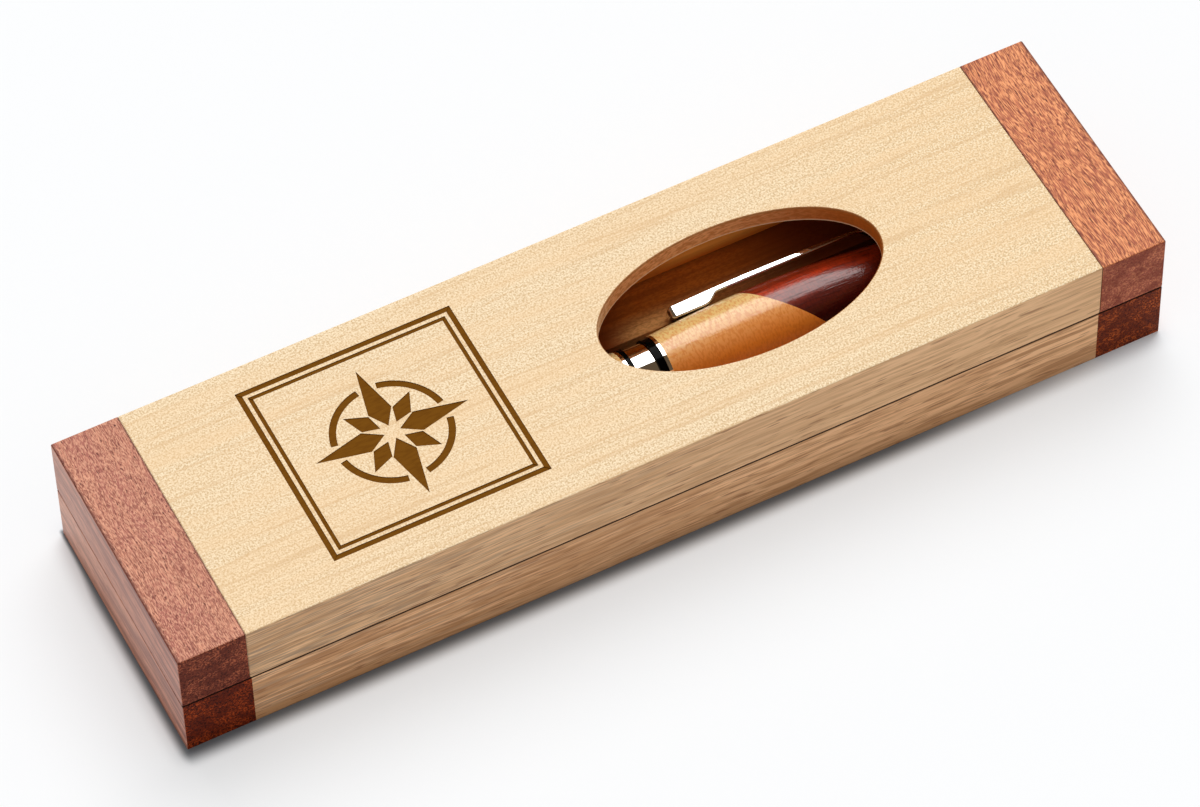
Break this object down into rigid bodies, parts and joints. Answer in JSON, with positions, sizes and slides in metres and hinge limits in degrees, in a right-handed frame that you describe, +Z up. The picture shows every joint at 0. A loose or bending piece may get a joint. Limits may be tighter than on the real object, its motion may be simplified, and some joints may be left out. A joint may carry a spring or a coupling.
{
  "type": "hinged pen box with pen",
  "caption": "Slim two-wood box with a hinged lid, an oval window in the lid and a round-bottomed pen groove, holding a twist pen with a clip.",
  "frame": {"origin": "centre of the underside of the wooden base, on the surface the box stands on", "axes": "+X along the box towards the end with the window, +Y towards the hinged back, +Z up; lid shut"},
  "size_m": [0.178, 0.0499, 0.0244],
  "materials": {
    "base_block": "pale fine-grained wood, sanded and thinly oiled",
    "base_end_left": "dark reddish open-grained wood, sanded and thinly oiled",
    "base_end_right": "dark reddish open-grained wood, sanded and thinly oiled",
    "hinge_left_base_leaf": "satin brass",
    "hinge_right_base_leaf": "satin brass",
    "hinge_left_pin": "satin brass",
    "hinge_right_pin": "satin brass",
    "base_hinge_screws": "satin brass",
    "base_magnet_left": "nickel-plated, satin",
    "base_magnet_right": "nickel-plated, satin",
    "lid_panel": "pale fine-grained wood, sanded and thinly oiled",
    "lid_end_left": "dark reddish open-grained wood, sanded and thinly oiled",
    "lid_end_right": "dark reddish open-grained wood, sanded and thinly oiled",
    "hinge_left_lid_leaf": "satin brass",
    "hinge_right_lid_leaf": "satin brass",
    "lid_hinge_screws": "satin brass",
    "lid_magnet_left": "nickel-plated, satin",
    "lid_magnet_right": "nickel-plated, satin",
    "cap_barrel_maple": "pale golden wood under gloss varnish",
    "cap_barrel_rosewood": "deep red-brown wood under gloss varnish",
    "cap_tube": "plain brass",
    "centre_band": "bright polished",
    "centre_band_ring": "black, glossy",
    "twist_spindle": "plain brass",
    "cap_bushing": "plain brass",
    "finial": "bright polished",
    "clip": "bright polished",
    "lower_barrel_maple": "pale golden wood under gloss varnish",
    "lower_barrel_rosewood": "deep red-brown wood under gloss varnish",
    "lower_tube": "plain brass",
    "twist_collar": "bright polished",
    "twist_collar_ring": "black, glossy",
    "twist_housing": "plain brass",
    "nib": "bright polished",
    "refill_point": "bright brass",
    "refill_tube": "satin steel",
    "refill_holder": "plain white plastic"
  },
  "bodies": {
    "base": {"base_block": "base_block", "base_end_left": "base_end_left", "base_end_right": "base_end_right", "hinge_left_base_leaf": "hinge_left_base_leaf", "hinge_right_base_leaf": "hinge_right_base_leaf", "hinge_left_pin": "hinge_left_pin", "hinge_right_pin": "hinge_right_pin", "base_hinge_screws": "base_hinge_screws", "base_magnet_left": "base_magnet_left", "base_magnet_right": "base_magnet_right"},
    "lid": {"lid_panel": "lid_panel", "lid_end_left": "lid_end_left", "lid_end_right": "lid_end_right", "hinge_left_lid_leaf": "hinge_left_lid_leaf", "hinge_right_lid_leaf": "hinge_right_lid_leaf", "lid_hinge_screws": "lid_hinge_screws", "lid_magnet_left": "lid_magnet_left", "lid_magnet_right": "lid_magnet_right"},
    "pen_upper": {"cap_barrel_maple": "cap_barrel_maple", "cap_barrel_rosewood": "cap_barrel_rosewood", "cap_tube": "cap_tube", "centre_band": "centre_band", "centre_band_ring": "centre_band_ring", "twist_spindle": "twist_spindle", "cap_bushing": "cap_bushing", "finial": "finial", "clip": "clip"},
    "pen_lower": {"lower_barrel_maple": "lower_barrel_maple", "lower_barrel_rosewood": "lower_barrel_rosewood", "lower_tube": "lower_tube", "twist_collar": "twist_collar", "twist_collar_ring": "twist_collar_ring", "twist_housing": "twist_housing", "nib": "nib"},
    "refill": {"refill_point": "refill_point", "refill_tube": "refill_tube", "refill_holder": "refill_holder"}
  },
  "joints": [
    {"name": "lid_hinge", "type": "hinge", "parent": "base", "child": "lid", "pos_m": [0, 0.0244, 0.0122], "axis": [-1, 0, 0], "range_deg": [0, 180]},
    {"name": "pen_lift", "type": "slide", "parent": "base", "child": "pen_upper", "axis": [0, 0, 1], "range_m": [0, 0.0025]},
    {"name": "pen_twist", "type": "hinge", "parent": "pen_upper", "child": "pen_lower", "pos_m": [0.0032, 0, 0.01115], "axis": [1, 0, 0], "range_deg": [0, 180]},
    {"name": "refill_feed", "type": "slide", "parent": "pen_lower", "child": "refill", "axis": [-1, 0, 0], "range_m": [0, 0.004]}
  ],
  "couplings": [
    {"joint": "refill_feed", "follows": "pen_twist", "m_per_rad": 0.0012732}
  ]
}
